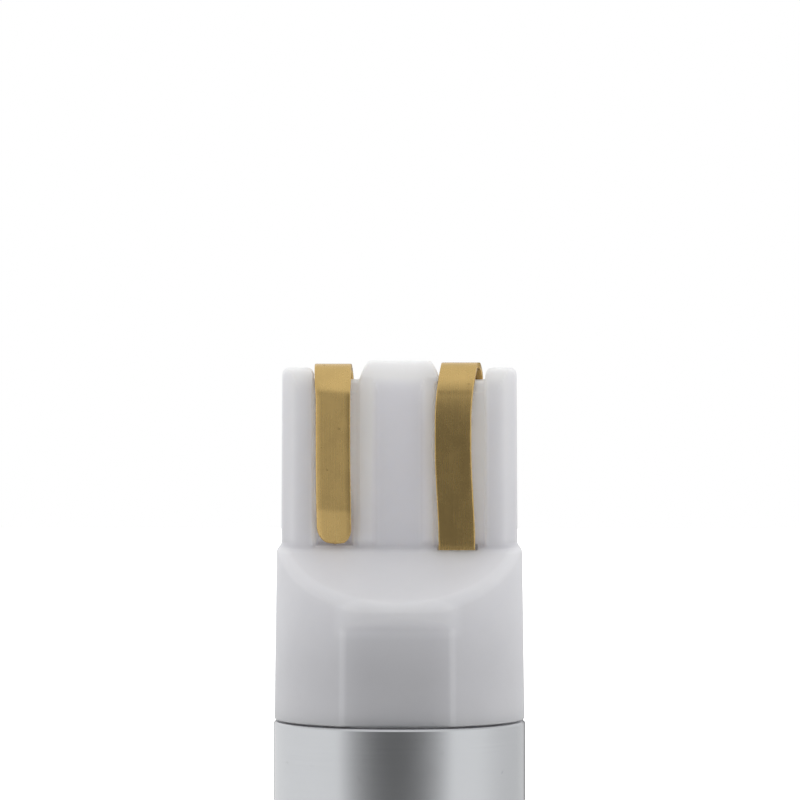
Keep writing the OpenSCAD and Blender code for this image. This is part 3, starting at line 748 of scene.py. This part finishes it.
class BULB_OT_wedge_cap(bpy.types.Operator):
    """Build the white moulded cap with its blade, collar and spigot"""

    bl_idname = "bulb.wedge_cap"
    bl_label = "Wedge Cap"

    def execute(self, context):
        cap, metal = context.scene.bulb_cap, context.scene.bulb_metal
        form = CapForm(cap, metal)
        step, tall = cap.mesh_step / MM, cap.mesh_step_tall / MM
        margin = 0.12
        reach = form.collar_r + margin
        across = grid_lines((-reach, reach, step))
        z_flat = form.z_joint + form.flat_h
        up = grid_lines(
            (form.z_joint - margin, form.z_joint + 0.35, step),
            (form.z_joint + 0.35, z_flat - 0.3, tall),
            (z_flat - 0.3, form.z_shoulder + 0.5, step),
            (form.z_shoulder + 0.5, form.z_top - 1.7, tall),
            (form.z_top - 1.7, form.z_top + margin, step),
        )
        points, faces = surface_net(form.distance, (across, across, up))
        slope = gradient(form.distance, points, 0.02)
        normals = slope / np.maximum(np.linalg.norm(slope, axis=1, keepdims=True), 1e-9)
        # Masks for painted light: a painted highlight on convex edges and painted shade in hollows and creases.
        edge, hollow_shade = self.bends(form.distance, points)
        # Painted shade where the collar's wall is thin, darker towards the bottom of the collar.
        wall = np.hypot(points[:, 0], points[:, 1]) - form.pocket_r
        thin_wall_shade = smooth((2.2 - wall) / 1.2) * smooth((form.z_pocket - points[:, 2]) / 3)
        over_flat = points[:, 2] - z_flat
        # The painted edge highlight is taken off in the band just above the flats.
        edge *= 1 - smooth((over_flat + 0.2) / 0.2) * smooth((0.65 - over_flat) / 0.15)
        # Painted light: the blade brighter towards its top and in its channel floors.
        low_face = smooth((form.half_t - np.abs(points[:, 1])) / 0.1)
        low_face *= 1 - 0.6 * smooth((np.abs(points[:, 0]) - 3.9) / 0.5)
        rise = np.clip((points[:, 2] - form.z_shoulder) / (form.z_top - form.z_shoulder), 0, 1)
        pale = smooth((points[:, 2] - form.z_shoulder) / 0.3) * (0.1 + 0.35 * rise + 0.6 * low_face)
        # Painted shade on the outer edges of the ears.
        pale -= 0.8 * smooth((np.abs(points[:, 0]) - 4.2) / 0.6) * (points[:, 2] > form.z_shoulder + 0.15)
        # Painted light on the brow above each flat, where the painted hollow shade is also taken away.
        brow_painted_light = smooth((over_flat + 0.6) / 0.35) * smooth((1.1 - over_flat) / 0.4)
        brow_painted_light *= smooth((np.abs(points[:, 1]) - form.flat_y + 0.35) / 0.3)
        pale += 0.3 * brow_painted_light
        hollow_shade *= 1 - brow_painted_light
        ring, ring_faces = self.spigot(form, metal.segments)
        faces = np.concatenate([faces, ring_faces + len(points)])
        ring_normals = np.tile([0.0, 0.0, 0.0], (len(ring), 1))
        points = np.concatenate([points, ring])
        normals = np.concatenate([normals, ring_normals])
        none = np.zeros(len(ring))
        attributes = {"edge": np.concatenate([edge, none]), "hollow_shade": np.concatenate([hollow_shade, none]),
                      "thin_wall_shade": np.concatenate([thin_wall_shade, none]), "pale": np.concatenate([pale, none])}
        piece = make_object("wedge_cap", points, faces, normals, attributes)
        place(piece, finishes().moulding, "wedge_base", "wedge_base")
        return {"FINISHED"}

    @staticmethod
    def bends(distance, points, h=0.06):
        """How far the surface bends outwards and inwards, from the second differences of the distance: the masks for
        painted edge highlights and painted shade in hollows.
        """
        bend = -6 * distance(*points.T)
        for axis in range(3):
            step = np.zeros(3)
            step[axis] = h
            bend += distance(*(points + step).T) + distance(*(points - step).T)
        bend /= h * h
        return np.clip((bend - 1.5) / 6, 0, 1), np.clip((-bend - 0.6) / 3.5, 0, 1)

    @staticmethod
    def spigot(form, segments):
        """The tube below the joint, which holds the driver board in the heat sink."""
        outline = round_outline([
            (form.pocket_r, form.z_joint + 0.04, 0), (form.pocket_r, form.z_spigot, 0.06),
            (form.spigot_r, form.z_spigot, 0.1), (form.spigot_r, form.z_joint + 0.04, 0),
        ])
        return revolve(outline, segments)


class BULB_OT_contacts(bpy.types.Operator):
    """Build the two folded contact strips"""

    bl_idname = "bulb.contacts"
    bl_label = "Contact Strips"

    # Each strip as seen with its root leg in front. A leg is its x at the foot, the middle and the crown,
    # the height below the top where it starts to lean to the crown, and its twist in degrees.
    # The kick is each leg's spring below the arch, over the spread as a share of the leg, and the crown is
    # the arch's height as a share of its radius.
    strips = {
        "contact_right": {"root": (2.31, 2.16, 2.44, 2.4, -1.0), "free": (2.56, 2.6, 2.44, 0.75, 2.0),
                          "kick": (0.22, 0.06), "spread": 0.32, "crown": 0.95},
        "contact_left": {"root": (2.36, 2.55, 2.67, 1.65, 2.0), "free": (2.59, 2.63, 2.67, 1.65, -17.4),
                         "kick": (0.035, 0.035), "spread": 0.18, "crown": 0.9},
    }

    def execute(self, context):
        cap, metal = context.scene.bulb_cap, context.scene.bulb_metal
        form = CapForm(cap, metal)
        for name, strip in self.strips.items():
            points, faces, attributes = self.sweep(form, metal, strip)
            if name == "contact_left":
                points = turn_half(points)
            piece = make_object(name + "_strip", points, faces, attributes=attributes)
            place(piece, finishes().gold, "contact", name)
        return {"FINISHED"}

    @staticmethod
    def leg(form, bow, kick, spread, thickness, count):
        """Centre line of a leg on the side of negative y, from the foot up to the arch.

        With u from 0 at the arch to 1 at the foot, it stands out by bow (1 - (2u - 1) squared) and by
        kick (u/s) exp(1 - u/s), the spring that the fold gives it below the arch, with s the spread.
        """
        z = np.linspace(form.z_shoulder, form.z_arch, count)
        u = (form.z_arch - z) / (form.z_arch - form.z_shoulder)
        out = bow * (1 - (2 * u - 1) ** 2) + kick * (u / spread) * np.exp(1 - u / spread)
        return np.stack([thickness / 2 - form.arch_r - out, z], axis=1)

    @staticmethod
    def half_arch(leg, z_crown, count):
        """Third-degree curve from the top of a leg, along its own direction, level onto the crown."""
        start, ahead = leg[-1], leg[-1] - leg[-2]
        height = z_crown - start[1]
        reach = ahead / np.linalg.norm(ahead) * height * 0.6
        handles = [start, start + reach, [start[0] * 0.52, z_crown], [0, z_crown]]
        t = np.linspace(0, 1, count)[1:, None]
        weights = [(1 - t) ** 3, 3 * t * (1 - t) ** 2, 3 * t ** 2 * (1 - t), t ** 3]
        return sum(weight * np.array(handle) for weight, handle in zip(weights, handles))

    def sweep(self, form, metal, strip):
        """A rounded rectangle carried along the fold: tail, joggle, root leg, arch, free leg, round tip.

        A point is centre(s) + u w(s) X + v N(s), with u and v round the section, w the half width, which
        narrows to a half circle at the free tip, and N the fold's own normal.
        """
        width, thick = metal.strip_width / MM, metal.strip_thickness / MM
        z_joggle = form.z_pocket - 0.2
        z_tail = z_joggle - 0.7
        tail_y = BOARD_LOW[1] - thick / 2
        slot_y = -(form.arch_r + form.channel_y) / 2
        root = self.leg(form, metal.root_bow / MM, strip["kick"][0], strip["spread"], thick, 70)
        free = self.leg(form, metal.free_bow / MM, strip["kick"][1], strip["spread"], thick, 80)
        z_crown = form.z_arch + strip["crown"] * (form.arch_r - thick / 2)
        arch = self.half_arch(root, z_crown, 24)
        far_side = self.half_arch(free, z_crown, 24)[-2::-1] * [-1, 1]
        arch = np.concatenate([arch, far_side])
        free[:, 0] *= -1
        free[:, 0] -= form.curl(free[:, 1])
        tip_z = form.z_shoulder + 0.08
        free = free[free[:, 1] > tip_z + 0.02][::-1]
        foot = [[tail_y, z_tail - 1.3], [tail_y, z_tail - 0.06], [tail_y - 0.03, z_tail + 0.04],
                [slot_y + 0.03, z_joggle - 0.04], [slot_y, z_joggle + 0.06], [slot_y, form.z_shoulder - 0.3]]
        tip_y = np.interp(tip_z, free[::-1, 1], free[::-1, 0])
        path = np.concatenate([foot, root, arch, free, [[tip_y, tip_z]]])
        z = path[:, 1]
        along = np.concatenate([[0], np.cumsum(np.linalg.norm(np.diff(path, axis=0), axis=1))])
        step = np.gradient(path, axis=0)
        step /= np.linalg.norm(step, axis=1, keepdims=True)
        normal = np.stack([-step[:, 1], step[:, 0]], axis=1)

        crown_at = along[np.argmax(z)]
        on_root = along < crown_at
        foot_x, middle_x, crown_x, lean, turn = (
            np.where(on_root, strip["root"][k], strip["free"][k]) for k in range(5))
        rise = smooth((z - form.z_shoulder) / (0.65 * (form.z_arch - form.z_shoulder)))
        centre = foot_x + (middle_x - foot_x) * rise
        centre += (crown_x - middle_x) * np.clip((z - form.z_top + lean) / lean, 0, 1) ** 2
        half = np.where(z < z_joggle, np.interp(z, [z_tail, z_joggle], [0.5, width / 2]), width / 2)
        left = np.clip(along[-1] - along, 0, width / 2)
        tip = np.sqrt(np.maximum((width / 2) ** 2 - (width / 2 - left) ** 2, 0.0))
        half = np.minimum(half, np.maximum(tip, 0.02))
        above = (z - form.z_shoulder) / (form.z_arch - form.z_shoulder)
        hold = np.where(on_root, smooth(above / 0.3), 1.0) * smooth((1.12 - above) / 0.16)
        twist = np.radians(turn) * hold * (z > form.z_shoulder)
        bow = np.maximum(np.abs(path[:, 0]) - form.arch_r + thick / 2, 0)
        clear = np.maximum(width / 2 * np.sin(np.abs(twist)) - bow, 0)

        u, v = self.section(thick, metal.strip_edge / MM)
        across = np.sign(u)[None, :] * np.maximum(half[:, None] - (u.max() - np.abs(u))[None, :], 0.004)
        depth = np.tile(v, (len(z), 1)) * np.clip(half / 0.12, 0.35, 1)[:, None]
        x = centre[:, None] + across * np.cos(twist)[:, None]
        lift_y = depth + across * np.sin(twist)[:, None] + clear[:, None]
        y = path[:, 0][:, None] + lift_y * normal[:, 0][:, None]
        height = z[:, None] + lift_y * normal[:, 1][:, None]
        points = np.stack([x, y, height], axis=-1).reshape(-1, 3)
        rows, columns = len(z), len(u)
        index = np.arange(rows * columns).reshape(rows, columns)
        side = np.roll(index, -1, axis=1)
        faces = np.stack([index[:-1], side[:-1], side[1:], index[1:]], axis=-1).reshape(-1, 4)
        caps = [self.cap(index[0][::-1]), self.cap(index[-1])]
        attributes = {
            "across": (across / half[:, None]).ravel(),
            "along": np.repeat(along, columns),
        }
        return points, np.concatenate([faces] + caps), attributes

    @staticmethod
    def section(thick, edge):
        """Outline of the strip's section: u along the width from a wide middle, v through the thickness."""
        turn = np.linspace(0, math.pi / 2, 5)
        reach, inner = 0.5, thick / 2 - edge
        corner = np.stack([reach - edge + edge * np.cos(turn), inner + edge * np.sin(turn)], axis=1)
        right_top = corner
        left_top = corner[::-1] * [-1, 1]
        left_low = corner * [-1, -1]
        right_low = corner[::-1] * [1, -1]
        across = [[0.25, thick / 2], [-0.25, thick / 2]]
        below = [[-0.25, -thick / 2], [0.25, -thick / 2]]
        loop = np.concatenate([right_top, across, left_top, left_low, below, right_low])
        return loop[:, 0], loop[:, 1]

    @staticmethod
    def cap(loop):
        """Four-sided faces across the end of a closed loop, from its two sides inwards."""
        count = len(loop)
        i = np.arange(count // 2 - 1)
        return np.stack([loop[i], loop[i + 1], loop[count - 2 - i], loop[count - 1 - i]], axis=1)


class BULB_OT_heat_sink(bpy.types.Operator):
    """Build the turned aluminium heat sink"""

    bl_idname = "bulb.heat_sink"
    bl_label = "Heat Sink"

    def execute(self, context):
        metal = context.scene.bulb_metal
        radius = min(*SINK_HIGH[:2], *-SINK_LOW[:2])
        seat_r, bore_r = radius - 0.6, 4.15
        web_low = box_mm("thermal_pad")[1][2]
        web_high = web_low + metal.web_thickness / MM
        chamfer, fine = metal.rim_chamfer / MM, 0.03
        low, high = SINK_LOW[2], SINK_HIGH[2]
        depth, width, pitch = metal.groove_depth / MM, metal.groove_width / MM, metal.groove_pitch / MM
        corners = [(seat_r, low, 0.04), (radius - chamfer, low, fine), (radius, low + chamfer, fine)]
        for i in reversed(range(metal.groove_count)):
            top = high - metal.band_height / MM - i * pitch
            corners += [(radius, top - width, 0.05), (radius - depth, top - width, 0.08),
                        (radius - depth, top, 0.08), (radius, top, 0.05)]
        corners += [(radius, high - chamfer, fine), (radius - chamfer, high, fine), (bore_r, high, 0.04),
                    (bore_r, web_high, 0.05), (0, web_high, 0), (0, web_low, 0), (seat_r, web_low, 0.05)]
        points, faces = revolve(round_outline(corners), metal.segments)
        piece = make_object("turned_heat_sink", points, faces)
        self.drill(piece)
        place(piece, finishes().aluminium, "heat_sink", "heat_sink")
        return {"FINISHED"}

    @staticmethod
    def drill(piece, clearance=0.05):
        """Cuts the two lead holes through the web."""
        for side in ("left", "right"):
            low, high = box_mm("lead_jacket_" + side)
            centre = (low + high) / 2
            radius = (high[0] - low[0]) / 2 + clearance
            outline = np.array([(0, low[2] - 0.5), (radius, low[2] - 0.5),
                                (radius, high[2] + 0.5), (0, high[2] + 0.5)])
            points, faces = revolve(outline, 40)
            drill = make_object("drill", points + [centre[0], centre[1], 0], faces)
            cut = piece.modifiers.new("lead_hole", "BOOLEAN")
            cut.object, cut.operation, cut.solver = drill, "DIFFERENCE", "EXACT"
            with bpy.context.temp_override(object=piece, active_object=piece):
                bpy.ops.object.modifier_apply(modifier=cut.name)
            bpy.data.objects.remove(drill)


class BULB_OT_diffuser(bpy.types.Operator):
    """Build the milky diffuser on the light end"""

    bl_idname = "bulb.diffuser"
    bl_label = "Diffuser"

    def execute(self, context):
        metal = context.scene.bulb_metal
        radius, top, rim = LENS_HIGH[0], LENS_HIGH[2], SINK_LOW[2]
        edge, wall = metal.lens_edge / MM, metal.lens_wall / MM
        floor, inner_edge = 1.0, 0.6
        seal_low, seal_high = box_mm("lens_seal")
        spigot_r = SINK_HIGH[0] - 0.63
        groove_r = spigot_r - 0.2
        inner_r = spigot_r - wall
        corners = [
            (0, 0, 0), (radius, 0, edge), (radius, rim, 0.06), (spigot_r, rim, 0.03),
            (spigot_r, seal_low[2], 0.02), (groove_r, seal_low[2], 0.02), (groove_r, seal_high[2], 0.02),
            (spigot_r, seal_high[2], 0.02), (spigot_r, top, 0.06), (inner_r, top, 0.06),
            (inner_r, floor, inner_edge), (0, floor, 0),
        ]
        points, faces = revolve(round_outline(corners, 10), metal.segments)
        piece = make_object("milky_diffuser_cap", points, faces)
        place(piece, finishes().diffuser, "diffuser", "diffuser_lens")
        return {"FINISHED"}


class BULB_OT_inner_parts(bpy.types.Operator):
    """Finish the driver, the emitters and the leads inside"""

    bl_idname = "bulb.inner_parts"
    bl_label = "Inner Parts"

    def execute(self, context):
        looks = finishes()
        by_slot = {
            "seal": looks.seal, "emitter": looks.phosphor, "emitter_board": looks.emitter_board,
            "thermal_pad": looks.pad, "lead_core": looks.copper, "lead_jacket_red": looks.jacket_red,
            "lead_jacket_black": looks.jacket_black, "driver_board": looks.board, "solder": looks.solder,
            "component_body": looks.component, "capacitor": looks.ceramic, "wedge_base": looks.moulding,
            "contact": looks.gold, "heat_sink": looks.aluminium, "diffuser": looks.diffuser,
        }
        for part in frame["record"]["subparts"]:
            dress(part["node"], by_slot[part["material_slot"]])
        return {"FINISHED"}


# Studio


def emission_wall(name, build):
    """A material that only shines, with the strength that build works out."""
    material = bpy.data.materials.new(name)
    material.use_nodes = True
    material.node_tree.nodes.clear()
    n = Nodes(material.node_tree)
    shine = n.add("ShaderNodeEmission")
    n.put(shine.inputs["Strength"], build(n))
    n.put(n.add("ShaderNodeOutputMaterial").inputs["Surface"], shine.outputs[0])
    return material


def seen_rays(n):
    """1 for a ray of the camera, a reflection or a clear material, and 0 for the others."""
    path = n.add("ShaderNodeLightPath").outputs
    seen = n.math("MAXIMUM", path["Is Camera Ray"], path["Is Glossy Ray"])
    return n.math("MAXIMUM", seen, path["Is Transmission Ray"])


class BULB_OT_studio(bpy.types.Operator):
    """Build the floor, the lights, the background and the camera"""

    bl_idname = "bulb.studio"
    bl_label = "Studio"

    ambient = 0.95
    floor_size = 0.8
    tent_radius = 0.42
    front_dark = 0.16
    tent_white = 0.86
    dark_reach = math.radians(54)
    back_reach = math.radians(20)
    back_glow = 1.0
    roof_dim = 0.15
    corner_dim = 0.24
    tent_turn = math.radians(-3)
    # name, place, aim, width, height, power
    lamps = (
        ("top_box", (0.02, 0.03, 0.42), (0, 0, 0.02), 0.34, 0.3, 0.14),
        ("left_box", (-0.36, -0.05, 0.12), (0, 0, 0.02), 0.2, 0.3, 0.06),
        ("right_box", (0.36, -0.05, 0.12), (0, 0, 0.02), 0.2, 0.3, 0.06),
    )
    camera_distance = 0.35
    view_height = 0.032
    aim = (0.00002, 0.0, 0.02644)
    elevation = math.radians(2.2)
    azimuth = math.radians(1.1)

    def execute(self, context):
        scene = context.scene
        scene.view_settings.view_transform = "Standard"
        self.background(scene)
        self.floor(scene)
        self.tent(scene)
        for lamp in self.lamps:
            self.lamp(scene, *lamp)
        self.camera(scene)
        return {"FINISHED"}

    def background(self, scene):
        world = bpy.data.worlds.new("white_room")
        world.use_nodes = True
        world.node_tree.nodes.clear()
        n = Nodes(world.node_tree)
        shine = n.add("ShaderNodeBackground")
        n.put(shine.inputs["Color"], (1, 1, 1, 1))
        strength = n.math("ADD", n.math("MULTIPLY", seen_rays(n), 1.0 - self.ambient), self.ambient)
        n.put(shine.inputs["Strength"], strength)
        n.put(n.add("ShaderNodeOutputWorld").inputs["Surface"], shine.outputs[0])
        scene.world = world

    def floor(self, scene):
        """A pale floor that keeps the shadow, fades to white further off and is clear from below."""
        material = bpy.data.materials.new("pale_floor")
        material.use_nodes = True
        material.node_tree.nodes.clear()
        n = Nodes(material.node_tree)
        paint = n.add("ShaderNodeBsdfDiffuse")
        n.put(paint.inputs["Color"], (0.6, 0.6, 0.6, 1))
        shine = n.add("ShaderNodeEmission")
        reach = n.add("ShaderNodeVectorMath", operation="LENGTH")
        n.put(reach.inputs[0], n.place_on_piece())
        glow = n.span(reach.outputs["Value"], 0.05, 0.16, 0.36, 1.0)
        n.put(shine.inputs["Strength"], n.math("MULTIPLY", seen_rays(n), glow))
        both = n.add("ShaderNodeAddShader")
        n.link(paint.outputs[0], both.inputs[0])
        n.link(shine.outputs[0], both.inputs[1])
        clear = n.add("ShaderNodeBsdfTransparent")
        turn = n.add("ShaderNodeMixShader")
        n.put(turn.inputs[0], n.add("ShaderNodeNewGeometry").outputs["Backfacing"])
        n.link(both.outputs[0], turn.inputs[1])
        n.link(clear.outputs[0], turn.inputs[2])
        n.put(n.add("ShaderNodeOutputMaterial").inputs["Surface"], turn.outputs[0])
        half = self.floor_size / 2
        mesh = bpy.data.meshes.new("floor")
        mesh.from_pydata([(-half, -half, 0), (half, -half, 0), (half, half, 0), (-half, half, 0)], [], [(0, 1, 2, 3)])
        mesh.materials.append(material)
        floor = bpy.data.objects.new("floor", mesh)
        floor.visible_glossy = False
        scene.collection.objects.link(floor)

    def tent(self, scene):
        """A light tent that the camera doesn't see: dark in front and behind, and white at the sides.

        The roof and the far corner on the right reflect a little less.

        Its strength is dark + (white - dark) t to the 2.4, where t is the angle from the front or the
        back, seen from the bulb, as a share of the dark patch's reach. For plain light it is t to the 2.4
        in front and 1 + glow cos(turn) to the 4 behind.
        """

        def strength(n):
            toward = n.add("ShaderNodeVectorMath", operation="NORMALIZE")
            n.put(toward.inputs[0], n.place_on_piece())
            split = n.add("ShaderNodeSeparateXYZ")
            n.link(toward.outputs[0], split.inputs[0])
            across, ahead, up = split.outputs
            turn = n.math("ARCCOSINE", n.math("ABSOLUTE", ahead))
            behind = n.math("GREATER_THAN", ahead, 0.0)
            reach = n.math("SUBTRACT", self.dark_reach,
                           n.math("MULTIPLY", behind, self.dark_reach - self.back_reach))
            t = n.math("POWER", n.math("MINIMUM", n.math("DIVIDE", turn, reach), 1.0), 2.4)
            shine = n.math("ADD", self.front_dark, n.math("MULTIPLY", t, self.tent_white - self.front_dark))
            corner = n.math("MULTIPLY", n.math("ADD", across, ahead), 0.7)
            dim = n.math("ADD", n.span(up, 0.5, 0.75, 0.0, self.roof_dim),
                         n.span(corner, 0.5, 1.1, 0.0, self.corner_dim))
            shine = n.math("MULTIPLY", shine, n.math("SUBTRACT", 1.0, dim))
            mirror = n.add("ShaderNodeLightPath").outputs["Is Glossy Ray"]
            glow = n.math("MULTIPLY", behind, n.math("POWER", n.math("ABSOLUTE", ahead), 4.0))
            plain = n.math("ADD", n.math("MAXIMUM", t, behind), n.math("MULTIPLY", glow, self.back_glow))
            return n.math("ADD", n.math("MULTIPLY", mirror, shine),
                          n.math("MULTIPLY", n.math("SUBTRACT", 1.0, mirror), plain))

        segments = 96
        angle = np.arange(segments) * 2 * math.pi / segments
        low, high = -0.35, 0.34
        ring = np.stack([np.cos(angle), np.sin(angle)], axis=1) * self.tent_radius
        points = np.concatenate([np.c_[ring, np.full(segments, low)], np.c_[ring, np.full(segments, high)]])
        index = np.arange(segments)
        ahead = np.roll(index, -1)
        faces = np.stack([ahead, index, index + segments, ahead + segments], axis=1)
        roof = list(range(2 * segments - 1, segments - 1, -1))
        mesh = bpy.data.meshes.new("light_tent")
        mesh.from_pydata(points.tolist(), [], faces.tolist() + [roof])
        mesh.materials.append(emission_wall("tent_cloth", strength))
        tent = bpy.data.objects.new("light_tent", mesh)
        tent.rotation_euler.z = self.tent_turn
        tent.visible_camera = False
        tent.visible_shadow = False
        tent.visible_transmission = False
        scene.collection.objects.link(tent)

    @staticmethod
    def lamp(scene, name, spot, aim, width, height, power):
        light = bpy.data.lights.new(name, "AREA")
        light.shape = "RECTANGLE"
        light.size, light.size_y = width, height
        light.energy = power
        lamp = bpy.data.objects.new(name, light)
        lamp.location = spot
        back = Vector(spot) - Vector(aim)
        lamp.rotation_euler = back.to_track_quat("Z", "Y").to_euler()
        lamp.visible_glossy = False
        scene.collection.objects.link(lamp)

    def camera(self, scene):
        lens = bpy.data.cameras.new("camera")
        lens.lens = lens.sensor_width * self.camera_distance / self.view_height
        lens.clip_start, lens.clip_end = 0.01, 5.0
        camera = bpy.data.objects.new("camera", lens)
        level = math.cos(self.elevation)
        back = Vector((level * math.sin(self.azimuth), -level * math.cos(self.azimuth),
                          math.sin(self.elevation)))
        camera.location = Vector(self.aim) + back * self.camera_distance
        camera.rotation_euler = back.to_track_quat("Z", "Y").to_euler()
        scene.collection.objects.link(camera)
        scene.camera = camera


class BULB_PT_panel(bpy.types.Panel):
    """Sizes, colours and pieces of the bulb"""

    bl_idname = "BULB_PT_panel"
    bl_label = "Wedge Base LED Bulb"
    bl_space_type = "VIEW_3D"
    bl_region_type = "UI"
    bl_category = "Bulb"

    def draw(self, context):
        layout = self.layout
        for group in (context.scene.bulb_cap, context.scene.bulb_metal, context.scene.bulb_colours):
            column = layout.column(align=True)
            for name in group.__annotations__:
                column.prop(group, name)
        for operator in OPERATORS:
            layout.operator(operator.bl_idname)


OPERATORS = (BULB_OT_inner_parts, BULB_OT_wedge_cap, BULB_OT_contacts, BULB_OT_heat_sink,
             BULB_OT_diffuser, BULB_OT_studio)
CLASSES = (BulbCapSizes, BulbMetalSizes, BulbColours) + OPERATORS + (BULB_PT_panel,)


def register():
    for entry in CLASSES:
        bpy.utils.register_class(entry)
    bpy.types.Scene.bulb_cap = PointerProperty(type=BulbCapSizes)
    bpy.types.Scene.bulb_metal = PointerProperty(type=BulbMetalSizes)
    bpy.types.Scene.bulb_colours = PointerProperty(type=BulbColours)


def unregister():
    del bpy.types.Scene.bulb_colours
    del bpy.types.Scene.bulb_metal
    del bpy.types.Scene.bulb_cap
    for entry in reversed(CLASSES):
        bpy.utils.unregister_class(entry)


def main():
    register()
    bpy.ops.bulb.inner_parts()
    bpy.ops.bulb.wedge_cap()
    bpy.ops.bulb.contacts()
    bpy.ops.bulb.heat_sink()
    bpy.ops.bulb.diffuser()
    bpy.ops.bulb.studio()


if __name__ == "__main__":
    main()
